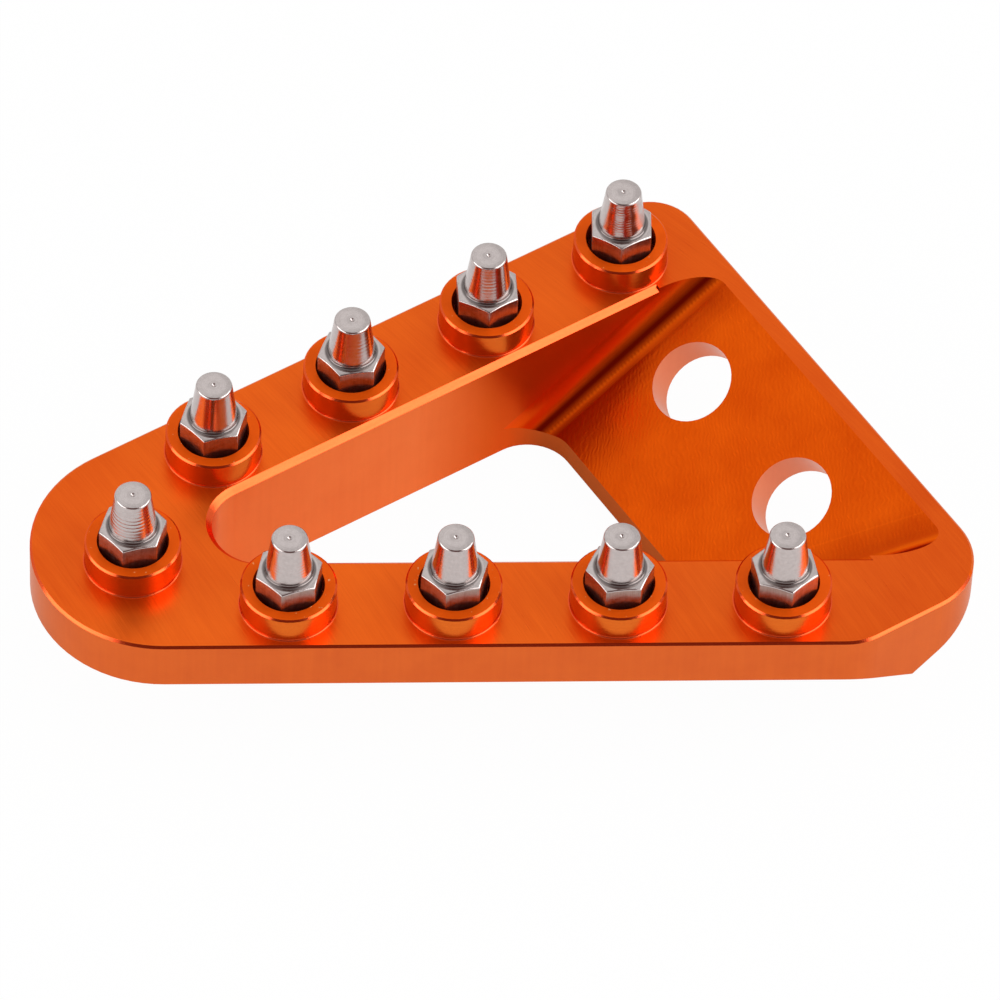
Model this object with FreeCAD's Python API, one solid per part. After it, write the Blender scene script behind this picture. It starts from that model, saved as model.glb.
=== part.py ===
import FreeCAD, Part
import math
import os

# Brake pedal extension: one milled plate with a window, a sloped mounting flange
# and nine bosses, and a turned grip stud screwed into each boss.
# Lengths are in millimetres. The plate's top face is at z = 0 until the last step,
# and the plan's origin is the axis of the first stud of the front row.

# Plan of the plate
wedge_angle = 31.2
rail_width = 9.3
far_row_offset = 17.17
far_row_start = 3.46
plate_reach = 52.0
corner_cut = 8.43
nose_radius = 11.05
front_blend_radius = 5.0
end_corner_radius = 6.0
far_corner_radius = 4.0

# Heights and edges of the plate
body_depth = 11.7
outer_wall_height = 4.8
edge_break = 0.2

# Window between the rails
window_corner_radius = 4.0
window_chamfer = 0.5

# Sloped flange and the pocket above it
flange_slope = 30.0
flange_thickness = 3.2
flange_length = 18.25
end_rim_width = 1.75
pocket_cove_radius = 2.5
mount_hole_radius = 3.6
mount_hole_inset = 8.3
mount_hole_spacing = 15.0
mount_hole_middle = -2.5

# Studs: spacing in the rows, and the least land between a boss and the plate's end
stud_pitch = 13.6
end_land = 1.0

# Bosses and the seats in them
boss_radius = 4.0
boss_height = 2.5
boss_edge_break = 0.15
seat_depth = 2.0
seat_clearance = 0.1
thread_radius = 2.0
thread_clearance = 0.05
tapped_depth = 4.5

# Stud
hex_across_flats = 5.0
hex_height = 3.95
hex_chamfer_angle = 30.0
shank_length = 4.0
collar_radius = 2.2
collar_height = 0.3
cone_base_radius = 1.97
cone_top_radius = 1.5
cone_height = 3.65

# How far each stud's hexagon is turned when it is tight, in degrees
nose_turn = 12.5
front_turns = (17.0, 14.5, 5.0, 40.0)
far_turns = (13.0, 9.0, 32.0, 28.0)

# Extra length of a cutting tool past the surface that it cuts
overcut = 5.0


wedge = math.radians(wedge_angle)
slope = math.radians(flange_slope)
up = FreeCAD.Vector(0, 0, 1)
along = FreeCAD.Vector(math.cos(wedge), math.sin(wedge), 0)
across = FreeCAD.Vector(-math.sin(wedge), math.cos(wedge), 0)
toward_far = FreeCAD.Vector(0, 1, 0)
half_rail = rail_width / 2


def crossing(line_a, line_b):
    """Point where two plan lines meet; a line is its normal and its distance."""
    normal_a, distance_a = line_a
    normal_b, distance_b = line_b
    area = normal_a.x * normal_b.y - normal_a.y * normal_b.x
    x = (distance_a * normal_b.y - distance_b * normal_a.y) / area
    y = (normal_a.x * distance_b - normal_b.x * distance_a) / area
    return FreeCAD.Vector(x, y, 0)


def rounded_outline(corners, radii, z):
    """Closed wire through the corners at height z, each rounded by its radius."""
    starts = []
    middles = []
    ends = []
    for index, corner in enumerate(corners):
        before = (corners[index - 1] - corner).normalize()
        after = (corners[(index + 1) % len(corners)] - corner).normalize()
        half_angle = before.getAngle(after) / 2
        radius = radii[index]
        reach = radius / math.tan(half_angle)
        bisector = (before + after).normalize()
        depth = radius / math.sin(half_angle) - radius
        starts.append(corner + before * reach + up * z)
        middles.append(corner + bisector * depth + up * z)
        ends.append(corner + after * reach + up * z)
    edges = []
    for index, start in enumerate(starts):
        if radii[index] > 0:
            edges.append(Part.Arc(start, middles[index], ends[index]).toShape())
        edges.append(Part.makeLine(ends[index], starts[(index + 1) % len(starts)]))
    return Part.Wire(edges)


def prism(wire, height):
    """Solid that stands on the wire and reaches up by height, or down if negative."""
    return Part.Face(wire).extrude(up * height)


def tapered(lower, upper):
    """Solid with flat and conical sides between two like outlines."""
    return Part.makeLoft([lower, upper], True, True)


# Distances from the first stud, along the far rail
pocket_reach = plate_reach - end_rim_width
window_reach = plate_reach - flange_length
mount_hole_reach = plate_reach - mount_hole_inset

# Straight sides of the plate and of the window
front_side = (toward_far, -half_rail)
far_side = (across, far_row_offset + half_rail)
end_side = (along, plate_reach)
cut_side = (across, across.dot(crossing(front_side, end_side)) + corner_cut)
front_inner = (toward_far, half_rail)
far_inner = (across, far_row_offset - half_rail)
window_end = (along, window_reach)


def moved_out(line, distance):
    """The same line, moved along its normal."""
    normal, offset = line
    return (normal, offset + distance)


def plate_outline(z):
    corners = [
        crossing(far_side, front_side),
        crossing(front_side, cut_side),
        crossing(cut_side, end_side),
        crossing(end_side, far_side),
    ]
    radii = [nose_radius, front_blend_radius, end_corner_radius, far_corner_radius]
    return rounded_outline(corners, radii, z)


def wedge_outline(z):
    """Front side, nose and far side, carried on well past the end of the plate."""
    past_end = moved_out(end_side, plate_reach)
    corners = [
        crossing(far_side, front_side),
        crossing(front_side, past_end),
        crossing(past_end, far_side),
    ]
    return rounded_outline(corners, [nose_radius, 0, 0], z)


# Plate blank: straight walls above, sides beveled at 45 degrees below them
blank = prism(plate_outline(0), -body_depth)
top_edges = [edge for edge in blank.Edges if edge.BoundBox.ZMin > -edge_break]
blank = blank.makeChamfer(edge_break, top_edges)
keel = prism(wedge_outline(0), -body_depth)
open_end = keel.BoundBox.XMax - plate_reach
low_edges = [edge for edge in keel.Edges if edge.BoundBox.ZMax < -outer_wall_height]
low_edges = [edge for edge in low_edges if edge.BoundBox.XMin < open_end]
keel = keel.makeChamfer(body_depth - outer_wall_height, low_edges)
plate = blank.common(keel)

# Frame of the flange: up its slope, across it and square out of its floor
slope_up = along * math.cos(slope) + up * math.sin(slope)
floor_normal = up * math.cos(slope) - along * math.sin(slope)
floor_rim = along * pocket_reach


def slab_on_slope(bottom, top):
    """Large slab between two planes parallel to the pocket's floor."""
    size = 2 * plate_reach
    corner = floor_rim - slope_up * size - across * size + floor_normal * bottom
    sides = [
        corner,
        corner + slope_up * 2 * size,
        corner + slope_up * 2 * size + across * 2 * size,
        corner + across * 2 * size,
        corner,
    ]
    return Part.Face(Part.makePolygon(sides)).extrude(floor_normal * (top - bottom))


# Underside of the flange, parallel to the floor of the pocket
plate = plate.cut(slab_on_slope(-flange_thickness - 2 * plate_reach, -flange_thickness))

# Pocket: its two walls carry on from the window's, and a ball cutter leaves a cove
pocket_start = moved_out(window_end, -window_corner_radius - overcut)
pocket_past = moved_out((along, pocket_reach), overcut)
pocket_corners = [
    crossing(front_inner, pocket_start),
    crossing(front_inner, pocket_past),
    crossing(far_inner, pocket_past),
    crossing(far_inner, pocket_start),
]
pocket_plan = rounded_outline(pocket_corners, [0, 0, 0, 0], -body_depth - overcut)
pocket = prism(pocket_plan, body_depth + 2 * overcut)
pocket = pocket.common(slab_on_slope(0, 2 * plate_reach))


def lies_on_floor(edge):
    middle = edge.valueAt((edge.FirstParameter + edge.LastParameter) / 2)
    return abs((middle - floor_rim).dot(floor_normal)) < edge_break / 2


def runs_up_slope(edge):
    ends = edge.Vertexes[1].Point - edge.Vertexes[0].Point
    return abs(ends.z) > pocket_cove_radius


cove_edges = [edge for edge in pocket.Edges if lies_on_floor(edge) and runs_up_slope(edge)]
pocket = pocket.makeFillet(pocket_cove_radius, cove_edges)

# Window
window_corners = [
    crossing(far_inner, front_inner),
    crossing(front_inner, window_end),
    crossing(window_end, far_inner),
]
window_plan = rounded_outline(window_corners, [window_corner_radius] * 3, -body_depth - overcut)
window = prism(window_plan, body_depth + 2 * overcut)
plate = plate.cut(window.fuse(pocket))

# Chamfer round the top of the window; it stops where the cove draws the rim inwards
far_chamfer_end = pocket_reach - pocket_cove_radius / math.sin(slope)
front_rise = math.tan(slope) * math.cos(wedge)
front_corner_angle = math.acos(floor_normal.dot(toward_far))
cove_rise = pocket_cove_radius * math.tan(front_corner_angle / 2)
cove_rise = cove_rise * math.sqrt(1 + front_rise * front_rise)
front_chamfer_end = pocket_reach - cove_rise / math.tan(slope)


def chamfer_outline(growth, z):
    front = moved_out(front_inner, -growth)
    far = moved_out(far_inner, growth)
    corners = [
        crossing(far, front),
        crossing(front_inner, (along, front_chamfer_end)) - toward_far * growth,
        crossing(far_inner, (along, far_chamfer_end)) + across * growth,
    ]
    return rounded_outline(corners, [window_corner_radius + growth, 0, 0], z)


chamfer_tool = tapered(
    chamfer_outline(0, -window_chamfer),
    chamfer_outline(window_chamfer + overcut, overcut),
)
plate = plate.cut(chamfer_tool)

# Mounting holes, square to the floor of the flange
flange_middle = along * mount_hole_reach + up * (mount_hole_reach - pocket_reach) * math.tan(slope)
for side in (-1, 1):
    shift = mount_hole_middle + side * mount_hole_spacing / 2
    centre = flange_middle + across * shift
    start = centre - floor_normal * (flange_thickness + overcut)
    drill = Part.makeCylinder(mount_hole_radius, flange_thickness + 2 * overcut, start, floor_normal)
    plate = plate.cut(drill)

# Stud positions: the nose stud lies one pitch from the first stud of both rows
front_first = FreeCAD.Vector(0, 0, 0)
far_first = along * far_row_start + across * far_row_offset
half_gap = (far_first - front_first) / 2
nose_reach = math.sqrt(stud_pitch * stud_pitch - half_gap.dot(half_gap))
nose_place = front_first + half_gap + up.cross(half_gap).normalize() * nose_reach
row_margin = boss_radius + end_land
front_row_length = crossing(front_side, cut_side).x - row_margin
far_row_length = plate_reach - far_row_start - row_margin
front_row_studs = 1 + math.floor(front_row_length / stud_pitch)
far_row_studs = 1 + math.floor(far_row_length / stud_pitch)
studs = {"stud_nose": (nose_place, nose_turn)}
for index in range(front_row_studs):
    place = front_first + FreeCAD.Vector(stud_pitch * index, 0, 0)
    studs["stud_front_%d" % (index + 1)] = (place, front_turns[index % len(front_turns)])
for index in range(far_row_studs):
    place = far_first + along * stud_pitch * index
    studs["stud_far_%d" % (index + 1)] = (place, far_turns[index % len(far_turns)])


def revolved(profile):
    """Solid turned about z from a closed profile of (radius, height) pairs."""
    points = [FreeCAD.Vector(radius, 0, z) for radius, z in profile]
    face = Part.Face(Part.makePolygon(points + points[:1]))
    return face.revolve(FreeCAD.Vector(0, 0, 0), up, 360)


# Boss, with its root sunk into the plate
hex_corner_radius = hex_across_flats / math.sqrt(3)
seat_radius = hex_corner_radius + seat_clearance
boss = Part.makeCylinder(boss_radius, boss_height + edge_break, up * -edge_break)
rim = [edge for edge in boss.Edges if edge.BoundBox.ZMin > boss_height - boss_edge_break]
boss = boss.makeChamfer(boss_edge_break, rim)

# Seat for the hexagon and the blind tapped hole under it
seat_floor = boss_height - seat_depth
tap_end = seat_floor - tapped_depth
seat_tool = revolved([
    (0, boss_height + overcut),
    (seat_radius, boss_height + overcut),
    (seat_radius, seat_floor),
    (thread_radius, seat_floor),
    (thread_radius, tap_end),
    (0, tap_end),
])

bosses = []
seats = []
for place, turn in studs.values():
    bosses.append(boss.translated(place))
    seats.append(seat_tool.translated(place))
plate = plate.fuse(bosses).cut(seats).removeSplitter()

# Stud: shank, hexagon with chamfered corners, collar and blunt cone
shank_radius = thread_radius - thread_clearance
hex_top = seat_floor + hex_height
collar_top = hex_top + collar_height
cone_top = collar_top + cone_height
shank_end = seat_floor - shank_length
turned = revolved([
    (0, shank_end),
    (shank_radius, shank_end),
    (shank_radius, hex_top - collar_height),
    (collar_radius, hex_top - collar_height),
    (collar_radius, hex_top),
    (cone_base_radius, collar_top),
    (cone_top_radius, cone_top),
    (0, cone_top),
])
hex_points = []
for index in range(7):
    angle = math.radians(60 * index)
    corner = FreeCAD.Vector(math.cos(angle), math.sin(angle), 0) * hex_corner_radius
    hex_points.append(corner + up * seat_floor)
hexagon = Part.Face(Part.makePolygon(hex_points)).extrude(up * hex_height)
corner_drop = (hex_corner_radius - hex_across_flats / 2) * math.tan(math.radians(hex_chamfer_angle))
chamfer_form = revolved([
    (0, seat_floor),
    (hex_corner_radius, seat_floor),
    (hex_corner_radius, hex_top - corner_drop),
    (hex_across_flats / 2, hex_top),
    (0, hex_top),
])
stud = turned.fuse(hexagon.common(chamfer_form)).removeSplitter()

# Last step: the origin goes to the middle of the plate's underside
plan_box = plate_outline(0).BoundBox
to_frame = FreeCAD.Vector(-plan_box.Center.x, -plan_box.Center.y, body_depth)

shapes = {"pedal_plate": plate}
for name, (place, turn) in studs.items():
    turned_stud = stud.copy()
    turned_stud.rotate(FreeCAD.Vector(0, 0, 0), up, turn)
    shapes[name] = turned_stud.translated(place)

os.makedirs("parts", exist_ok=True)
for name, shape in shapes.items():
    shape.translated(to_frame).exportStep("parts/%s.step" % name)
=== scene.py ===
"""Looks of the brake pedal extension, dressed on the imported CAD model.

The plate stays the CAD solid, with a finish for each kind of milled face. The nine grip
studs are turned again at full detail, and fine edges that the CAD leaves out are added.
Sizes of the part and places of the camera are written in millimetres and turned into
metres with MM. Sizes of the floor and the softboxes are in metres.
"""

import math

import bmesh
import bpy
from mathutils import Matrix, Vector


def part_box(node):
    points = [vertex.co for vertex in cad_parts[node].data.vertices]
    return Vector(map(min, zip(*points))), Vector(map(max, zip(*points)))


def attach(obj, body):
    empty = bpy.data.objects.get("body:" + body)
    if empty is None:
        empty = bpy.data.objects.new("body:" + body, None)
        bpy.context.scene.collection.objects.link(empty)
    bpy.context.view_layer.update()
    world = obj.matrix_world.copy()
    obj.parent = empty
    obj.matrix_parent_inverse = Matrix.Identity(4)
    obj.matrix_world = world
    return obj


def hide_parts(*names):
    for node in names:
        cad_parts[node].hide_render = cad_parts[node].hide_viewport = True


MM = 0.001
ROOT_BODY = "root"

# Sizes that the CAD model also has; reaches and shifts are taken from the first front stud
PLATE_TOP = 11.7
BOSS_RADIUS = 4.0
BOSS_HEIGHT = 2.5
SEAT_DEPTH = 2.0
SEAT_RADIUS = 2.99
HEX_ACROSS_FLATS = 5.0
HEX_HEIGHT = 3.95
HEX_CHAMFER_SLOPE = math.tan(math.radians(19))
SHANK_RADIUS = 1.95
SHANK_LENGTH = 4.0
COLLAR_HEIGHT = 0.3
CONE_BASE_RADIUS = 1.97
CONE_TOP_RADIUS = 1.5
CONE_HEIGHT = 3.65
WEDGE_ANGLE = math.radians(31.2)
FLANGE_SLOPE = math.radians(30)
POCKET_REACH = 50.25
HOLE_REACH = 43.7
HOLE_RADIUS = 3.6
HOLE_SHIFTS = (-10.0, 5.0)
COVE_RADIUS = 2.5
FAR_WALL_OFFSET = 12.52
FRONT_WALL_OFFSET = 4.65

# Heights on a stud, above the plate's top face
SEAT_FLOOR = BOSS_HEIGHT - SEAT_DEPTH
HEX_TOP = SEAT_FLOOR + HEX_HEIGHT
CONE_FOOT = HEX_TOP + COLLAR_HEIGHT
TIP_HEIGHT = CONE_FOOT + CONE_HEIGHT

# Sorting of the plate's faces: a point in the window, taken from the first front stud,
# then lengths, and shares of a face's normal in one direction
WINDOW_MIDDLE = (17.0, 10.0)
RADIUS_MARGIN = 0.03
HOLE_MARGIN = 0.05
LEVEL_MARGIN = 0.01
BOSS_TOP_MARGIN = 0.02
CHAMFER_DROP = 0.6
CHAMFER_ABOVE_FLOOR = 0.3
LEVEL_SHARE = 0.99
CHAMFER_SHARES = (0.5, 0.85)
WALL_SHARE = 0.5
UPRIGHT_SHARE = 0.1
POCKET_SHARE = 0.02

# Fine detail of the studs
GROOVE_STEPS = 90
GROOVE_FADE = 8
GROOVE_MEAN = 0.6
GROOVE_SWING = 0.4
GROOVE_BEAT = 1.7
TIP_BREAK = 0.10
TIP_EDGE_SHARES = ((0, 1), (0.1, 0.8), (0.8, 0.1), (1, 0))
TIP_MIDDLE_RADIUS = 0.7
CENTRE_MARK_RADIUS = 0.20
CENTRE_MARK_DEPTH = 0.16
CENTRE_MARK_BREAK = (0.03, 0.01)
AXIS_RADIUS = 0.02
CONE_ROOT_FILLET = 0.26
FILLET_STEPS = 12
HEX_TOP_RADIUS = 2.44
HEX_TOP_BREAK = (0.04, 0.005)
HEX_EDGE_BREAKS = ((0, 0.10), (0.01, 0.04), (0.04, 0.01), (0.10, 0))
HEX_FOOT_BREAK = 0.05
HEX_CORNER_ROUNDING = 0.12
HEX_HALF_SECTOR = 30
SHANK_END_CHAMFER = 0.4
SHARP_ANGLE = math.radians(35)

# Angles from a corner of the hexagon, in degrees, that have a row of vertices
CORNER_OFFSETS = (0, 1, 2, 3, 4.5, 7, 10, 14, 18, 22, 26)

# Rings of a stud that start a strip of faces with the finish of the drawn bar
HEX_SIDE_RINGS = range(3, 6)

# Depth of the turned grooves on each stud's cone, and their pitch
GROOVES = {
    "stud_nose": (0.016, 0.36),
    "stud_front_1": (0.014, 0.30),
    "stud_front_2": (0.002, 0.24),
    "stud_front_3": (0.003, 0.26),
    "stud_front_4": (0.006, 0.28),
    "stud_far_1": (0.004, 0.24),
    "stud_far_2": (0.005, 0.38),
    "stud_far_3": (0.005, 0.34),
    "stud_far_4": (0.018, 0.26),
}

# Fillet where a boss rises out of the tread
BOSS_FILLET = 0.13
BOSS_FILLET_STEPS = 6
BOSS_FILLET_SUNK = 0.01
BOSS_SEGMENTS = 96

# Cutter marks: how many to a millimetre, across and along the feed or along x, y and z
TREAD_FINE_MARKS = (5.0, 0.25)
TREAD_COARSE_MARKS = (1.1, 0.12)
WALL_MARKS = (2.2, 2.2, 0.10)
BOSS_MARKS = (0.3, 0.3, 6.0)
BAR_MARKS = (6.0, 6.0, 0.5)
LATHE_MARKS = 9.0
ROW_BREAKS = (2.6, 2.2)

# Arcs of the wide cutter on the tread, and a painted sheen that fades along x, with the nose darker
CUTTER_RADIUS = 160.0
CUTTER_LEAN = 0.588
NOSE_SPAN = (-39, -24)
TREAD_SHEEN_SPAN = (-35, 38)

# Shade on the inner walls, by the reach along the far rail
INNER_SHADE_SPAN = (21.0, 29.5)
COVE_SHADE_SPAN = (28.0, 36.0)
COAT_FADE_SPAN = (20.5, 28.0)
END_WALL_SHARES = (0.1, 0.8)

# Rows, beads and lines in the pocket, by the distance from its walls or its rim
ROW_PITCH = 0.34
ROW_WANDER = 2.6
ROW_WAVER = 0.55
BEAD_PITCH = 0.33
BEAD_OFFSET = 1.84
BEAD_HALF_WIDTH = 0.14
BEAD_EDGE = 0.10
BORDER_WIDTH = 4.6
BORDER_EDGE = 0.05
STEP_LINE_WIDTH = 0.12
LINE_EDGE = 0.06
RIM_LINES = ((0.55, 0.62), (1.25, 1.32))
FLOOR_START = (COVE_RADIUS - 0.1, COVE_RADIUS + 0.3)

# Painted shade, a painted highlight strip and a painted dark reflection line in the pocket, and its
# share of metal, by the distance from its walls or by the reach along the far rail
COVE_DARK = (0.92, 1.42)
COVE_DARK_EDGE = 0.16
COVE_METAL_SPAN = (0.1, 0.9)
PAST_BEADS_RISE = (1.9, 2.35)
PAST_BEADS_FALL = (2.5, 5.5)
FAR_EDGE_SPAN = (0.0, 0.75)
FRONT_STRIP = (1.0, 2.3)
FRONT_STRIP_EDGE = 0.25
FRONT_STRIP_RISE = (45.0, 48.0)
FRONT_LINE = (0.25, 0.7)
FRONT_LINE_EDGE = 0.15
FRONT_LINE_RISE = (46.0, 49.0)

# Limits of the noise that makes a nick, and places on a turned stud: where the lathe lines grow
# stronger toward the tip, and where a painted shade lies round the cone's root
NICK_SPAN = (0.24, 0.27)
TIP_LINE_SPAN = (TIP_HEIGHT - 0.3, TIP_HEIGHT - 0.1)
ROOT_RADIUS_SPAN = (2.16, 2.30)
ROOT_HEIGHT_SPAN = (HEX_TOP + 0.10, HEX_TOP + 0.50)

# Camera that took the photograph, solved in the frame of the plate
CAMERA_LENS = 336.126
CAMERA_SENSOR = 36.0
CAMERA_ELEVATION = math.radians(50.2595)
CAMERA_HEADING = math.radians(-4.236)
CAMERA_ROLL = math.radians(2.902)
CAMERA_DISTANCE = 776.31
CAMERA_TARGET = (-0.055, -9.256, 12.2)
CAMERA_CLIP = (10, 10000)

# Studio tent: its level, and the gap in it behind the camera
TENT_LEVEL = 0.80
GAP_COLOUR = (0.17, 0.085, 0.078)
GAP_DIRECTION = (0.0, -0.72, 0.69)
GAP_SPAN = (0.58, 0.93)

# Softboxes: azimuth and elevation in degrees, distance, width and height, and radiance
SOFTBOXES = {
    "softbox_left": (-160, 28, 0.7, (0.70, 0.28), 2.8),
    "softbox_right": (-14, 38, 0.7, (0.72, 0.48), 2.8),
    "softbox_top": (110, 48, 0.6, (0.46, 0.46), 0.16),
}

# Floor: its half width, how far it lies below the part, and its own glow as rays see it
FLOOR_HALF_WIDTH = 1.5
FLOOR_DROP = 0.00005
CAMERA_GLOW = 0.975
MIRROR_GLOW = 0.52

# Colours, linear
WHITE = (1.0, 1.0, 1.0)
FLOOR_COLOUR = (0.86, 0.86, 0.86)
TREAD_LIGHT = (0.90, 0.138, 0.007)
TREAD_DEEP = (0.68, 0.070, 0.001)
BOSS_TOP_LIGHT = (0.96, 0.125, 0.004)
NICK_COLOUR = (0.98, 0.42, 0.16)
RIM_LIGHT = (0.86, 0.112, 0.028)
RIM_DEEP = (0.76, 0.078, 0.017)
OUTER_LIGHT = (0.80, 0.138, 0.009)
OUTER_DEEP = (0.69, 0.098, 0.004)
# Inner walls: a lighter copy of the outer walls' colour, painted light from the bright floor seen
# through the window
INNER_LIGHT = (0.97, 0.205, 0.032)
INNER_DEEP = (0.88, 0.155, 0.020)
INNER_SHADE = (0.70, 0.068, 0.0005)
COVE_SHADE = (0.94, 0.080, 0.0005)
END_WALL_SHADE = (0.46, 0.085, 0.012)
# Hole walls: a paler, pinker copy of the anodised colour, a painted reflection of the pale floor below
# the holes
HOLE_LIGHT = (0.88, 0.210, 0.060)
HOLE_DEEP = (0.76, 0.150, 0.040)
SIDE_LIGHT = (0.81, 0.165, 0.013)
SIDE_DEEP = (0.68, 0.106, 0.007)
POCKET_LIGHT = (0.94, 0.128, 0.003)
POCKET_DEEP = (0.70, 0.068, 0.0008)
PAINTED_COVE_SHADE = (0.34, 0.008, 0.0002)
FRONT_REFLECTION_COLOUR = (0.34, 0.060, 0.030)
SEAT_COLOUR = (0.85, 0.095, 0.010)
ANODISE_EDGE = (0.85, 0.60, 0.42)
STEEL_LIGHT = (0.59, 0.525, 0.51)
STEEL_DARK = (0.42, 0.37, 0.355)
ROOT_SHADE_COLOUR = (0.13, 0.105, 0.10)
# Hexagon sides: darker, browner steel, painted shade and a painted reflection of the orange seat
BAR_LIGHT = (0.44, 0.33, 0.29)
BAR_DARK = (0.27, 0.17, 0.14)

# Share of bare metal in the look of the dyed surfaces
DYED_METALLIC = 0.84
POCKET_METALLIC = 0.95


class Nodes:
    """Small helper that adds and links the nodes of one tree."""

    def __init__(self, tree):
        self.tree = tree

    def add(self, kind, inputs=None, **settings):
        node = self.tree.nodes.new(kind)
        for key, value in settings.items():
            setattr(node, key, value)
        for key, value in (inputs or {}).items():
            self.feed(node, key, value)
        return node

    def feed(self, node, key, value):
        """Gives a socket a constant, or a link where the value is another socket."""
        if isinstance(value, bpy.types.NodeSocket):
            self.tree.links.new(value, node.inputs[key])
        else:
            node.inputs[key].default_value = value

    def maths(self, operation, first, second=0.0):
        return self.add("ShaderNodeMath", {0: first, 1: second}, operation=operation).outputs[0]

    def total(self, first, *others):
        for other in others:
            first = self.maths("ADD", first, other)
        return first

    def scaled(self, value, factor):
        return self.maths("MULTIPLY", value, factor)

    def vector_maths(self, operation, first, second=(0, 0, 0)):
        node = self.add("ShaderNodeVectorMath", {0: first, 1: second}, operation=operation)
        return node.outputs["Value"] if operation in ("DOT_PRODUCT", "LENGTH") else node.outputs[0]

    def split(self, vector):
        node = self.add("ShaderNodeSeparateXYZ", {0: vector})
        return node.outputs[0], node.outputs[1], node.outputs[2]

    def combine(self, x, y):
        return self.add("ShaderNodeCombineXYZ", {0: x, 1: y}).outputs[0]

    def ranged(self, value, span, result=(0, 1), interpolation="LINEAR"):
        """Carries a value from its span over to the two results, and holds it past them."""
        inputs = {
            "Value": value,
            "From Min": span[0],
            "From Max": span[1],
            "To Min": result[0],
            "To Max": result[1],
        }
        node = self.add("ShaderNodeMapRange", inputs, interpolation_type=interpolation)
        return node.outputs["Result"]

    def band(self, value, span, edge):
        """1 inside the span, and 0 outside, over a soft edge."""
        rise = self.ranged(value, (span[0] - edge, span[0] + edge))
        fall = self.ranged(value, (span[1] - edge, span[1] + edge), (1, 0))
        return self.maths("MULTIPLY", rise, fall)

    def mixed_colour(self, factor, first, second):
        """First colour at a factor of 0, second at 1, through the Mix node's colour sockets."""
        node = self.add("ShaderNodeMix", data_type="RGBA")
        self.feed(node, 0, factor)
        self.feed(node, 6, (*first, 1) if isinstance(first, tuple) else first)
        self.feed(node, 7, (*second, 1) if isinstance(second, tuple) else second)
        return node.outputs[2]


class Shader(Nodes):
    """The nodes of one material, round its Principled BSDF."""

    def __init__(self, name, colour, metallic=1.0, roughness=0.3):
        self.material = bpy.data.materials.new(name)
        self.material.use_nodes = True
        super().__init__(self.material.node_tree)
        self.surface = self.tree.nodes["Principled BSDF"]
        self.surface.inputs["Metallic"].default_value = metallic
        self.surface.inputs["Roughness"].default_value = roughness
        self.surface.inputs["Base Color"].default_value = (*colour, 1)

    def place(self):
        """The shaded point in millimetres, in the frame of the object."""
        coordinates = self.add("ShaderNodeTexCoord").outputs["Object"]
        return self.vector_maths("MULTIPLY", coordinates, (1 / MM, 1 / MM, 1 / MM))

    def noise(self, vector, scale=1.0, detail=2.0, roughness=0.5):
        """Noise round zero, about -0.25 to 0.25."""
        inputs = {"Vector": vector, "Scale": scale, "Detail": detail, "Roughness": roughness}
        noise = self.add("ShaderNodeTexNoise", inputs).outputs["Fac"]
        return self.maths("SUBTRACT", noise, 0.5)

    def wave(self, value, pitch):
        """Sine of a length, from -1 to 1, with its pitch in millimetres."""
        return self.maths("SINE", self.scaled(value, 2 * math.pi / pitch))

    def stretched(self, x, y, marks):
        """A vector of two lengths, each times its own number of marks to a millimetre."""
        return self.combine(self.scaled(x, marks[0]), self.scaled(y, marks[1]))

    def bump(self, height, depth, after=None):
        """Bump by a height with no unit, times a depth in millimetres."""
        inputs = {"Height": height, "Distance": depth * MM}
        if after is not None:
            inputs["Normal"] = after
        return self.add("ShaderNodeBump", inputs).outputs["Normal"]

    def finish(self, colour, roughness=None, normal=None):
        self.feed(self.surface, "Base Color", colour)
        if roughness is not None:
            self.feed(self.surface, "Roughness", roughness)
        if normal is not None:
            self.feed(self.surface, "Normal", normal)
            self.feed(self.surface, "Coat Normal", normal)
        return self.material


def anodised(name, colour, roughness, coat, metallic=DYED_METALLIC):
    """Dyed metal under the thin clear layer that anodising leaves."""
    shader = Shader(name, colour, metallic, roughness)
    sockets = shader.surface.inputs
    sockets["Specular Tint"].default_value = (*ANODISE_EDGE, 1)
    sockets["Coat Weight"].default_value = coat
    sockets["Coat Roughness"].default_value = roughness
    return shader


def flange_axes():
    """Directions along the far rail, across it, and square out of the pocket's floor."""
    along = Vector((math.cos(WEDGE_ANGLE), math.sin(WEDGE_ANGLE), 0))
    across = Vector((-math.sin(WEDGE_ANGLE), math.cos(WEDGE_ANGLE), 0))
    out = Vector((0, 0, 1)) * math.cos(FLANGE_SLOPE) - along * math.sin(FLANGE_SLOPE)
    return along, across, out


def tread_material():
    """Face-milled top: fine arcs left by a wide cutter, a painted sheen that fades from left to right,
    and a darker nose.
    """
    shader = anodised("anodised_tread", TREAD_LIGHT, roughness=0.30, coat=0.08)
    place = shader.place()
    x, y, _ = shader.split(place)
    from_axis = shader.maths("ADD", y, CUTTER_RADIUS * CUTTER_LEAN)
    square = shader.maths("MULTIPLY", from_axis, from_axis)
    arc = shader.maths("SQRT", shader.maths("SUBTRACT", CUTTER_RADIUS**2, square))
    feed = shader.maths("SUBTRACT", x, arc)
    fine = shader.noise(shader.stretched(feed, y, TREAD_FINE_MARKS), detail=3.0, roughness=0.65)
    coarse = shader.noise(shader.stretched(feed, y, TREAD_COARSE_MARKS))
    blotches = shader.noise(place, scale=0.10)
    # Tone: darker at the nose, a painted sheen that fades along x, and random marks and blotches
    tone = shader.total(
        shader.ranged(x, NOSE_SPAN, (-0.35, 0)),
        shader.ranged(x, TREAD_SHEEN_SPAN, (0.86, 0.38)),
        shader.scaled(fine, 0.70),
        shader.scaled(coarse, 0.38),
        blotches,
    )
    colour = shader.mixed_colour(tone, TREAD_DEEP, TREAD_LIGHT)
    rough = shader.total(shader.scaled(fine, 0.12), 0.30)
    return shader.finish(colour, rough, shader.bump(fine, 0.016))


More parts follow.
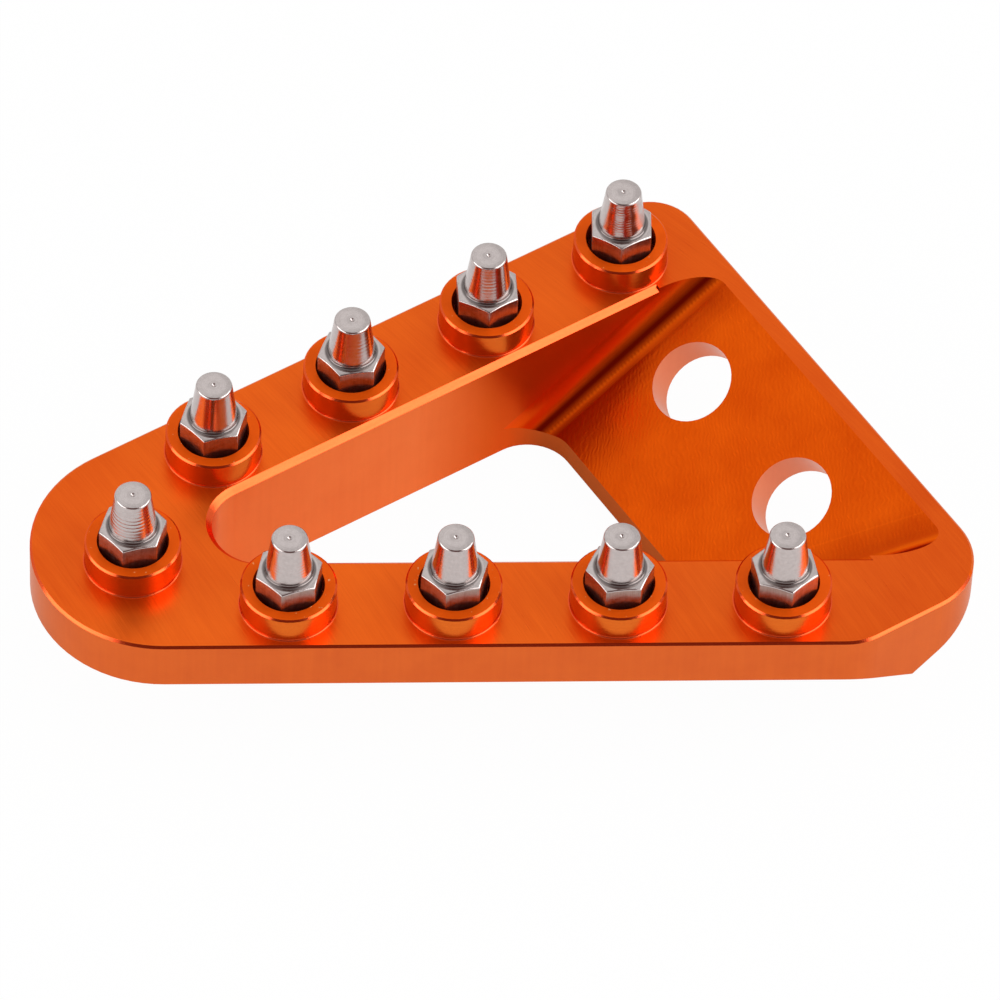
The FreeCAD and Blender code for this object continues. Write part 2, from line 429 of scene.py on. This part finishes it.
def wall_material(name, light, deep, coat, shade_from=None):
    """Side-milled walls: smooth satin, with faint upright marks of the end mill.

    Where shade_from is a point, painted shade deepens the walls' colour from there toward the flange,
    and the wall that faces away from the flange is darkened by more painted shade.
    """
    shader = anodised(name, light, roughness=0.28, coat=coat)
    place = shader.place()
    marks = shader.noise(shader.vector_maths("MULTIPLY", place, WALL_MARKS))
    cloud = shader.noise(place, scale=0.30, detail=3.0, roughness=0.6)
    tone = shader.total(0.6, shader.scaled(marks, 0.5), cloud)
    colour = shader.mixed_colour(tone, deep, light)
    if shade_from is not None:
        along = flange_axes()[0]
        offset = shader.vector_maths("SUBTRACT", place, tuple(shade_from))
        reach = shader.vector_maths("DOT_PRODUCT", offset, tuple(along))
        # Painted shade: the inner walls darken toward the flange, then lighten a little again past the
        # cove
        shade = shader.mixed_colour(shader.ranged(reach, COVE_SHADE_SPAN), INNER_SHADE, COVE_SHADE)
        colour = shader.mixed_colour(shader.ranged(reach, INNER_SHADE_SPAN, (0, 0.85)), colour, shade)
        shader.feed(shader.surface, "Coat Weight", shader.ranged(reach, COAT_FADE_SPAN, (coat, 0)))
        # Painted shade on the end wall that faces away from the flange
        facing = shader.add("ShaderNodeTexCoord").outputs["Normal"]
        from_flange = shader.vector_maths("DOT_PRODUCT", facing, tuple(-along))
        at_end = shader.ranged(from_flange, END_WALL_SHARES, (0, 0.9))
        colour = shader.mixed_colour(at_end, colour, END_WALL_SHADE)
    rough = shader.total(shader.scaled(cloud, 0.10), 0.31)
    return shader.finish(colour, rough, shader.bump(marks, 0.004))


def boss_material(name, light, deep, gloss, metallic):
    """Sides of the bosses and chamfers: cut in one pass, so glossier than the tread."""
    shader = anodised(name, light, gloss, coat=0.06, metallic=metallic)
    place = shader.place()
    turned = shader.noise(shader.vector_maths("MULTIPLY", place, BOSS_MARKS))
    specks = shader.noise(place, scale=4.0, detail=4.0, roughness=0.7)
    tone = shader.total(0.7, shader.scaled(specks, 1.2), turned)
    colour = shader.mixed_colour(tone, deep, light)
    rough = shader.total(shader.scaled(specks, 0.15), gloss)
    normal = shader.bump(turned, 0.004)
    return shader.finish(colour, rough, shader.bump(specks, 0.004, after=normal))


def boss_top_material():
    """Tops of the bosses: satin, with small nicks near their rims."""
    shader = anodised("anodised_boss_top", TREAD_LIGHT, roughness=0.42, coat=0.0, metallic=0.5)
    shader.surface.inputs["Specular IOR Level"].default_value = 0.15
    place = shader.place()
    cloud = shader.noise(place, scale=0.5, detail=3.0, roughness=0.6)
    nicked = shader.ranged(shader.noise(place, scale=3.4, detail=1.0), NICK_SPAN)
    tone = shader.total(0.62, shader.scaled(cloud, 0.8))
    colour = shader.mixed_colour(tone, TREAD_DEEP, BOSS_TOP_LIGHT)
    colour = shader.mixed_colour(shader.scaled(nicked, 0.8), colour, NICK_COLOUR)
    rough = shader.total(shader.scaled(cloud, 0.10), 0.46)
    normal = shader.bump(cloud, 0.010)
    return shader.finish(colour, rough, shader.bump(nicked, 0.012, after=normal))


def seat_material():
    """Seats of the studs: rough, with less of the metal showing through, and darkened half way toward
    the cove's dark colour as painted shade in the recess.
    """
    shader = anodised("anodised_seat", SEAT_COLOUR, roughness=0.5, coat=0.0, metallic=0.1)
    place = shader.place()
    cloud = shader.noise(place, scale=1.5, detail=3.0, roughness=0.6)
    colour = shader.mixed_colour(shader.total(0.5, cloud), PAINTED_COVE_SHADE, SEAT_COLOUR)
    return shader.finish(colour, normal=shader.bump(cloud, 0.02))


def pocket_material(first_stud):
    """Ball-milled pocket: wavy rows of small cusps, and border passes along its edges."""
    shader = anodised("anodised_pocket", POCKET_LIGHT, 0.28, coat=0.0, metallic=POCKET_METALLIC)
    place = shader.place()
    along, across, _ = flange_axes()
    offset = shader.vector_maths("SUBTRACT", place, tuple(first_stud))
    reach = shader.vector_maths("DOT_PRODUCT", offset, tuple(along))
    sideways = shader.vector_maths("DOT_PRODUCT", offset, tuple(across))
    x, y, _ = shader.split(place)
    from_far = shader.maths("SUBTRACT", FAR_WALL_OFFSET, sideways)
    from_front = shader.maths("SUBTRACT", shader.split(offset)[1], FRONT_WALL_OFFSET)
    from_rim = shader.maths("SUBTRACT", POCKET_REACH, reach)
    from_wall = shader.maths("MINIMUM", from_far, from_front)

    wander = shader.noise(place, scale=0.16)
    waver = shader.noise(place, scale=1.5, detail=1.0)
    row = shader.total(x, shader.scaled(wander, ROW_WANDER), shader.scaled(waver, ROW_WAVER))
    breaks = shader.noise(shader.stretched(x, y, ROW_BREAKS))
    strength = shader.ranged(breaks, (-0.15, 0.2), (0.0, 1.5))
    rows = shader.maths("MULTIPLY", shader.wave(row, ROW_PITCH), strength)
    rows = shader.maths("MULTIPLY", rows, shader.ranged(from_wall, FLOOR_START))
    passes = shader.wave(from_wall, 2 * ROW_PITCH)
    border_end = (BORDER_WIDTH - BORDER_EDGE, BORDER_WIDTH + BORDER_EDGE)
    in_border = shader.ranged(from_wall, border_end, (1, 0))
    step_line = shader.band(from_wall, (BORDER_WIDTH, BORDER_WIDTH + STEP_LINE_WIDTH), LINE_EDGE)
    rim_lines = shader.total(*(shader.band(from_rim, line, LINE_EDGE) for line in RIM_LINES))
    bead_span = (BEAD_OFFSET - BEAD_HALF_WIDTH, BEAD_OFFSET + BEAD_HALF_WIDTH)
    bead_strip = shader.band(from_far, bead_span, BEAD_EDGE)
    beads = shader.maths("MULTIPLY", bead_strip, shader.total(shader.wave(reach, BEAD_PITCH), 0.6))
    height = shader.total(
        shader.scaled(rows, 0.5),
        shader.scaled(shader.maths("MULTIPLY", passes, in_border), 0.25),
        shader.scaled(beads, 0.22),
    )

    metallic = shader.ranged(from_wall, COVE_METAL_SPAN, (DYED_METALLIC, POCKET_METALLIC))
    shader.feed(shader.surface, "Metallic", metallic)
    # Painted highlight: a lighter strip in the front cove, toward the rim
    front_highlight = shader.maths(
        "MULTIPLY",
        shader.band(from_front, FRONT_STRIP, FRONT_STRIP_EDGE),
        shader.ranged(reach, FRONT_STRIP_RISE),
    )
    # The tone carries the painted highlight strip, and a painted highlight on the beads
    tone = shader.total(
        0.5,
        shader.noise(place, scale=0.25),
        shader.scaled(front_highlight, 0.9),
        shader.scaled(rows, 0.13),
        shader.scaled(step_line, 0.26),
        shader.scaled(rim_lines, 0.16),
        shader.scaled(beads, 0.35),
    )
    colour = shader.mixed_colour(tone, POCKET_DEEP, POCKET_LIGHT)
    # Painted shade along the far edge, running on from the painted shade of the inner wall
    at_far_edge = shader.ranged(from_far, FAR_EDGE_SPAN, (0.85, 0))
    colour = shader.mixed_colour(at_far_edge, colour, COVE_SHADE)
    # Painted shade: the dark cove band, and a darkening past the beads
    in_cove = shader.scaled(shader.band(from_wall, COVE_DARK, COVE_DARK_EDGE), 0.95)
    past_beads = shader.maths(
        "MULTIPLY",
        shader.ranged(from_wall, PAST_BEADS_RISE, (0, 0.44)),
        shader.ranged(from_wall, PAST_BEADS_FALL, (1, 0.12)),
    )
    colour = shader.mixed_colour(shader.total(in_cove, past_beads), colour, PAINTED_COVE_SHADE)
    # Painted reflection: a dark line in the front cove, toward the rim
    front_reflection = shader.maths(
        "MULTIPLY",
        shader.band(from_front, FRONT_LINE, FRONT_LINE_EDGE),
        shader.ranged(reach, FRONT_LINE_RISE, (0, 0.7)),
    )
    colour = shader.mixed_colour(front_reflection, colour, FRONT_REFLECTION_COLOUR)
    return shader.finish(colour, normal=shader.bump(height, 0.006))


def turned_steel_material():
    """Turned stainless steel, with fine lathe lines round the axis of the stud, and a painted shade
    round the cone's root.
    """
    shader = Shader("steel_turned", STEEL_LIGHT, roughness=0.24)
    place = shader.place()
    x, y, z = shader.split(place)
    radius = shader.vector_maths("LENGTH", shader.combine(x, y))
    profile = shader.stretched(radius, z, (LATHE_MARKS, LATHE_MARKS))
    lines = shader.noise(profile, detail=3.0, roughness=0.6)
    lines = shader.maths("MULTIPLY", lines, shader.ranged(z, TIP_LINE_SPAN, (0.3, 1.2)))
    specks = shader.noise(place, scale=3.0, detail=4.0, roughness=0.7)
    tone = shader.total(0.72, shader.scaled(lines, 1.3), shader.scaled(specks, 1.4))
    colour = shader.mixed_colour(tone, STEEL_DARK, STEEL_LIGHT)
    # Painted shade: a dark band on the steel round the root of the cone
    root_shade = shader.maths(
        "MULTIPLY",
        shader.ranged(radius, ROOT_RADIUS_SPAN, (0.85, 0)),
        shader.ranged(z, ROOT_HEIGHT_SPAN, (1, 0)),
    )
    colour = shader.mixed_colour(root_shade, colour, ROOT_SHADE_COLOUR)
    rough = shader.total(shader.scaled(specks, 0.15), 0.19)
    return shader.finish(colour, rough, shader.bump(lines, 0.009))


def hexagon_steel_material():
    """Drawn hexagon bar: lines along the stud, a little rougher than the turned part, and darker and
    browner: painted shade and a painted reflection of the orange seat.
    """
    shader = Shader("steel_hexagon", BAR_LIGHT, roughness=0.30)
    place = shader.place()
    lines = shader.noise(shader.vector_maths("MULTIPLY", place, BAR_MARKS))
    specks = shader.noise(place, scale=2.2, detail=4.0, roughness=0.7)
    tone = shader.total(0.55, lines, shader.scaled(specks, 1.9))
    colour = shader.mixed_colour(tone, BAR_DARK, BAR_LIGHT)
    rough = shader.total(shader.scaled(specks, 0.2), 0.31)
    return shader.finish(colour, rough, shader.bump(lines, 0.006))


def floor_material():
    """Pale floor that shows white to the camera and in reflections, and keeps a shadow."""
    shader = Shader("pale_floor", FLOOR_COLOUR, metallic=0.0, roughness=0.6)
    path = shader.add("ShaderNodeLightPath")
    glow = shader.add("ShaderNodeEmission", {"Color": (*WHITE, 1), "Strength": 1.0})
    share = shader.total(
        shader.scaled(path.outputs["Is Camera Ray"], CAMERA_GLOW),
        shader.scaled(path.outputs["Is Glossy Ray"], MIRROR_GLOW),
    )
    mixed = shader.add(
        "ShaderNodeMixShader",
        {0: share, 1: shader.surface.outputs[0], 2: glow.outputs[0]},
    )
    shader.feed(shader.tree.nodes["Material Output"], "Surface", mixed.outputs[0])
    return shader.material


def linked_object(name, data):
    """A new object in the scene that holds a mesh, a lamp or a camera."""
    new_object = bpy.data.objects.new(name, data)
    bpy.context.scene.collection.objects.link(new_object)
    return new_object


def stud_places():
    """Each stud's axis on the plate's top face, and the angle of one of its hex corners."""
    places = {}
    for name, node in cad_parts.items():
        if not name.startswith("stud"):
            continue
        low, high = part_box(name)
        axis = (low + high) / 2
        axis.z = PLATE_TOP * MM
        spokes = [vertex.co.xy - axis.xy for vertex in node.data.vertices]
        corner = max(spokes, key=lambda spoke: spoke.length)
        places[name] = (axis, math.atan2(corner.y, corner.x))
    return places


def sector_angles():
    """Angles round the stud, close together at the six corners of the hexagon."""
    before = [-offset for offset in CORNER_OFFSETS[1:]]
    offsets = [*before, *CORNER_OFFSETS, HEX_HALF_SECTOR]
    sector = 2 * HEX_HALF_SECTOR
    angles = [math.radians(sector * corner + offset) for corner in range(6) for offset in offsets]
    return sorted(angle % (2 * math.pi) for angle in angles)


def hexagon_radius(angle, inset):
    """Distance from the axis to the side of the hexagon, with its corners rounded off."""
    apothem = HEX_ACROSS_FLATS / 2 - inset
    sector = 2 * HEX_HALF_SECTOR
    from_corner = abs((math.degrees(angle) + HEX_HALF_SECTOR) % sector - HEX_HALF_SECTOR)
    sharp = apothem / math.cos(math.radians(HEX_HALF_SECTOR - from_corner))
    corner_centre = (apothem - HEX_CORNER_ROUNDING) / math.cos(math.radians(HEX_HALF_SECTOR))
    away = math.radians(from_corner)
    side = corner_centre * math.sin(away)
    if side >= HEX_CORNER_ROUNDING:
        return sharp
    rounded = corner_centre * math.cos(away) + math.sqrt(HEX_CORNER_ROUNDING**2 - side**2)
    return min(sharp, rounded)


def cone_radius(height):
    """Radius of the cone at a height above the plate's top face."""
    share = (height - CONE_FOOT) / CONE_HEIGHT
    return CONE_BASE_RADIUS + share * (CONE_TOP_RADIUS - CONE_BASE_RADIUS)


def turned_profile(groove_depth, groove_pitch):
    """(radius, height) pairs of the root, the cone, the tip and its centre mark.

    The grooves in the cone fade out at both its ends and are of uneven depth.
    """
    draft = math.atan2(CONE_BASE_RADIUS - CONE_TOP_RADIUS, CONE_HEIGHT)
    fillet_top = HEX_TOP + CONE_ROOT_FILLET * (1 - math.sin(draft))
    fillet_centre = cone_radius(fillet_top) + CONE_ROOT_FILLET * math.cos(draft)
    profile = []
    for step in range(FILLET_STEPS + 1):
        angle = (math.pi / 2 - draft) * step / FILLET_STEPS
        radius = fillet_centre - CONE_ROOT_FILLET * math.sin(angle)
        profile.append((radius, HEX_TOP + CONE_ROOT_FILLET * (1 - math.cos(angle))))
    for step in range(1, GROOVE_STEPS):
        share = step / GROOVE_STEPS
        height = fillet_top + share * (TIP_HEIGHT - TIP_BREAK - fillet_top)
        phase = math.pi * (height - fillet_top) / groove_pitch
        fade = min(1, GROOVE_FADE * share, GROOVE_FADE * (1 - share))
        uneven = GROOVE_MEAN + GROOVE_SWING * math.sin(GROOVE_BEAT * phase)
        groove = groove_depth * fade * uneven * (1 - abs(math.sin(phase)))
        profile.append((cone_radius(height) - groove, height))
    for inward, down in TIP_EDGE_SHARES:
        profile.append((CONE_TOP_RADIUS - inward * TIP_BREAK, TIP_HEIGHT - down * TIP_BREAK))
    mark_outward, mark_down = CENTRE_MARK_BREAK
    profile += [
        (TIP_MIDDLE_RADIUS, TIP_HEIGHT),
        (CENTRE_MARK_RADIUS + mark_outward, TIP_HEIGHT),
        (CENTRE_MARK_RADIUS, TIP_HEIGHT - mark_down),
        (AXIS_RADIUS, TIP_HEIGHT - CENTRE_MARK_DEPTH),
    ]
    return profile


def stud_rings(groove_depth, groove_pitch):
    """Rings from the shank's end to the tip; each is a radius and a height per angle."""

    def round_ring(radius, height):
        return lambda angle: (radius, height)

    def side_ring(inset, height):
        return lambda angle: (hexagon_radius(angle, inset), height)

    def chamfer_ring(inset, drop):
        def ring(angle):
            radius = hexagon_radius(angle, inset)
            return radius, HEX_TOP - drop - (radius - HEX_TOP_RADIUS) * HEX_CHAMFER_SLOPE

        return ring

    shank_end = SEAT_FLOOR - SHANK_LENGTH
    top_inward, top_up = HEX_TOP_BREAK
    return [
        round_ring(AXIS_RADIUS, shank_end),
        round_ring(SHANK_RADIUS - SHANK_END_CHAMFER, shank_end),
        round_ring(SHANK_RADIUS, shank_end + SHANK_END_CHAMFER),
        round_ring(SHANK_RADIUS, SEAT_FLOOR),
        side_ring(HEX_FOOT_BREAK, SEAT_FLOOR),
        side_ring(0, SEAT_FLOOR + HEX_FOOT_BREAK),
        *(chamfer_ring(inset, drop) for inset, drop in HEX_EDGE_BREAKS),
        round_ring(HEX_TOP_RADIUS, HEX_TOP),
        round_ring(HEX_TOP_RADIUS - top_inward, HEX_TOP + top_up),
        *(round_ring(radius, height) for radius, height in turned_profile(groove_depth, groove_pitch)),
    ]


def ring_point(radius, angle, height):
    """A point in metres on a ring round an upright axis."""
    return Vector((radius * math.cos(angle), radius * math.sin(angle), height)) * MM


def join_loops(work, lower, upper, material_index=0):
    """Smooth faces between two closed loops of vertices."""
    for step in range(len(lower)):
        following = (step + 1) % len(lower)
        face = work.faces.new((lower[step], lower[following], upper[following], upper[step]))
        face.smooth = True
        face.material_index = material_index


def finished_mesh(name, work):
    """A mesh of what bmesh holds, which is then freed."""
    mesh = bpy.data.meshes.new(name)
    work.to_mesh(mesh)
    work.free()
    return mesh


def build_stud(name, axis, corner_angle, turned, hexagon):
    """One turned grip stud as a closed mesh on its own axis."""
    angles = sector_angles()
    work = bmesh.new()
    loops = []
    for ring in stud_rings(*GROOVES[name]):
        loop = []
        for angle in angles:
            radius, height = ring(angle)
            loop.append(work.verts.new(ring_point(radius, angle, height)))
        loops.append(loop)
    for index in range(len(loops) - 1):
        material_index = 1 if index in HEX_SIDE_RINGS else 0
        join_loops(work, loops[index], loops[index + 1], material_index)
    work.faces.new(reversed(loops[0]))
    work.faces.new(loops[-1])
    mesh = finished_mesh(name + "_turned", work)
    mesh.set_sharp_from_angle(angle=SHARP_ANGLE)
    mesh.materials.append(turned)
    mesh.materials.append(hexagon)
    piece = linked_object(name + "_turned", mesh)
    piece.location = axis
    piece.rotation_euler = (0, 0, corner_angle)
    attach(piece, ROOT_BODY)
    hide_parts(name)


def lathe_mesh(name, profile, centres, segments):
    """Open rings turned from a profile round several upright axes, as one mesh."""
    work = bmesh.new()
    angles = [2 * math.pi * step / segments for step in range(segments)]
    for centre in centres:
        loops = []
        for radius, height in profile:
            points = [centre + ring_point(radius, angle, height) for angle in angles]
            loops.append([work.verts.new(point) for point in points])
        for lower, upper in zip(loops, loops[1:]):
            join_loops(work, lower, upper)
    return finished_mesh(name, work)


def build_boss_roots(places, material):
    """Small fillets where the bosses rise out of the tread."""
    profile = [(BOSS_RADIUS + BOSS_FILLET + BOSS_FILLET_SUNK, -BOSS_FILLET_SUNK)]
    for step in range(BOSS_FILLET_STEPS + 1):
        angle = math.radians(90 * step / BOSS_FILLET_STEPS)
        radius = BOSS_RADIUS + BOSS_FILLET * (1 - math.sin(angle))
        profile.append((radius, BOSS_FILLET * (1 - math.cos(angle))))
    profile.append((BOSS_RADIUS - BOSS_FILLET_SUNK, BOSS_FILLET + BOSS_FILLET_SUNK))
    centres = [axis for axis, _ in places.values()]
    mesh = lathe_mesh("boss_roots", profile, centres, BOSS_SEGMENTS)
    mesh.materials.append(material)
    piece = linked_object("boss_roots", mesh)
    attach(piece, ROOT_BODY)


def dress_plate(places, first_stud):
    """Gives each kind of face of the plate its finish, and returns that of its chamfers."""
    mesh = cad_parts["pedal_plate"].data
    finishes = {
        "wall": wall_material("anodised_outer_wall", OUTER_LIGHT, OUTER_DEEP, coat=0.30),
        "inner_wall": wall_material(
            "anodised_inner_wall", INNER_LIGHT, INNER_DEEP, coat=0.28, shade_from=first_stud
        ),
        "hole": wall_material("anodised_hole", HOLE_LIGHT, HOLE_DEEP, coat=0.90),
        "tread": tread_material(),
        "rim": boss_material("anodised_rim", RIM_LIGHT, RIM_DEEP, gloss=0.18, metallic=0.97),
        "boss": boss_material("anodised_boss", SIDE_LIGHT, SIDE_DEEP, gloss=0.24, metallic=0.86),
        "boss_top": boss_top_material(),
        "seat": seat_material(),
        "pocket": pocket_material(first_stud),
    }
    mesh.materials.clear()
    for material in finishes.values():
        mesh.materials.append(material)
    slots = {name: index for index, name in enumerate(finishes)}
    along, across, out = flange_axes()
    rim = first_stud + along * POCKET_REACH
    axes = [axis.xy / MM for axis, _ in places.values()]
    drop = (POCKET_REACH - HOLE_REACH) * math.tan(FLANGE_SLOPE)
    hole_row = first_stud + along * HOLE_REACH - Vector((0, 0, drop))
    holes = [hole_row + across * shift for shift in HOLE_SHIFTS]
    window_middle = first_stud.xy + Vector(WINDOW_MIDDLE)
    for face in mesh.polygons:
        centre = face.center / MM
        normal = face.normal
        above_top = centre.z - PLATE_TOP
        above_floor = (centre - rim).dot(out)
        out_share = normal.dot(out)
        from_stud = min((centre.xy - axis).length for axis in axes)
        from_hole = min((centre - hole).cross(out).length for hole in holes)
        faces_window = normal.xy.dot(window_middle - centre.xy) > 0
        chamfered = CHAMFER_SHARES[0] < normal.z < CHAMFER_SHARES[1]
        on_floor = -LEVEL_MARGIN < above_floor < COVE_RADIUS
        if from_stud < SEAT_RADIUS + RADIUS_MARGIN and above_top < BOSS_HEIGHT - BOSS_TOP_MARGIN:
            kind = "seat"
        elif from_stud < BOSS_RADIUS + RADIUS_MARGIN and above_top > LEVEL_MARGIN:
            kind = "boss" if normal.z < UPRIGHT_SHARE else "rim"
            kind = "boss_top" if normal.z > LEVEL_SHARE else kind
        elif normal.z > LEVEL_SHARE:
            kind = "tread"
        elif chamfered and above_top > -CHAMFER_DROP and above_floor > CHAMFER_ABOVE_FLOOR:
            kind = "rim"
        elif from_hole < HOLE_RADIUS + HOLE_MARGIN and abs(out_share) < UPRIGHT_SHARE:
            kind = "hole"
        elif on_floor and normal.z > POCKET_SHARE and out_share > POCKET_SHARE:
            kind = "pocket"
        elif faces_window and abs(normal.z) < WALL_SHARE:
            kind = "inner_wall"
        else:
            kind = "wall"
        face.material_index = slots[kind]
    return finishes["rim"]


def build_floor():
    mesh = bpy.data.meshes.new("studio_floor")
    half = FLOOR_HALF_WIDTH
    corners = [(-half, -half, 0), (half, -half, 0), (half, half, 0), (-half, half, 0)]
    mesh.from_pydata(corners, [], [(0, 1, 2, 3)])
    mesh.materials.append(floor_material())
    floor = linked_object("studio_floor", mesh)
    floor.location.z = -FLOOR_DROP


def build_softbox(name, azimuth, elevation, distance, size, radiance):
    """Soft studio light of a given radiance that faces the part."""
    lamp = bpy.data.lights.new(name, "AREA")
    lamp.shape = "RECTANGLE"
    lamp.size = size[0]
    lamp.size_y = size[1]
    lamp.energy = radiance * math.pi * size[0] * size[1]
    azimuth = math.radians(azimuth)
    elevation = math.radians(elevation)
    direction = Vector((
        math.cos(azimuth) * math.cos(elevation),
        math.sin(azimuth) * math.cos(elevation),
        math.sin(elevation),
    ))
    softbox = linked_object(name, lamp)
    softbox.location = direction * distance
    softbox.rotation_euler = direction.to_track_quat("Z", "Y").to_euler()


def build_world():
    """Pale studio tent, dark only behind the camera, and white where the camera sees it."""
    world = bpy.data.worlds.new("studio_tent")
    bpy.context.scene.world = world
    world.use_nodes = True
    nodes = Nodes(world.node_tree)
    direction = nodes.add("ShaderNodeTexCoord").outputs["Generated"]
    toward_gap = nodes.vector_maths("DOT_PRODUCT", direction, GAP_DIRECTION)
    in_gap = nodes.ranged(toward_gap, GAP_SPAN, interpolation="SMOOTHSTEP")
    tent = nodes.mixed_colour(in_gap, (TENT_LEVEL, TENT_LEVEL, TENT_LEVEL), GAP_COLOUR)
    to_camera = nodes.add("ShaderNodeLightPath").outputs["Is Camera Ray"]
    seen = nodes.mixed_colour(to_camera, tent, WHITE)
    nodes.feed(nodes.tree.nodes["Background"], "Color", seen)


def build_camera():
    data = bpy.data.cameras.new("photo_camera")
    data.lens = CAMERA_LENS
    data.sensor_width = CAMERA_SENSOR
    data.clip_start = CAMERA_CLIP[0] * MM
    data.clip_end = CAMERA_CLIP[1] * MM
    camera = linked_object("photo_camera", data)
    turn = Matrix.Rotation(CAMERA_HEADING, 3, "Z")
    turn = turn @ Matrix.Rotation(math.pi / 2 - CAMERA_ELEVATION, 3, "X")
    turn = turn @ Matrix.Rotation(CAMERA_ROLL, 3, "Z")
    back = turn @ Vector((0, 0, 1))
    camera.rotation_euler = turn.to_euler()
    camera.location = (Vector(CAMERA_TARGET) + back * CAMERA_DISTANCE) * MM
    bpy.context.scene.camera = camera


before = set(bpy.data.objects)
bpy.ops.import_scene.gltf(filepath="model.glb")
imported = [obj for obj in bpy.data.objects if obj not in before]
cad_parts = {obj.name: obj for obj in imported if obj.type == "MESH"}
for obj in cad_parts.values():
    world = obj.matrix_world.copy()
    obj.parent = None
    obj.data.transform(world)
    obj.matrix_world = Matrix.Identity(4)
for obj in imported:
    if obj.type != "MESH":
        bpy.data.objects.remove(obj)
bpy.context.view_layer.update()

places = stud_places()
first_stud = places["stud_front_1"][0] / MM
rim_finish = dress_plate(places, first_stud)
turned_steel = turned_steel_material()
hexagon_steel = hexagon_steel_material()
for name, (axis, corner_angle) in places.items():
    build_stud(name, axis, corner_angle, turned_steel, hexagon_steel)
build_boss_roots(places, rim_finish)

build_floor()
build_world()
for name, settings in SOFTBOXES.items():
    build_softbox(name, *settings)
build_camera()

scene = bpy.context.scene
scene.view_settings.view_transform = "Standard"
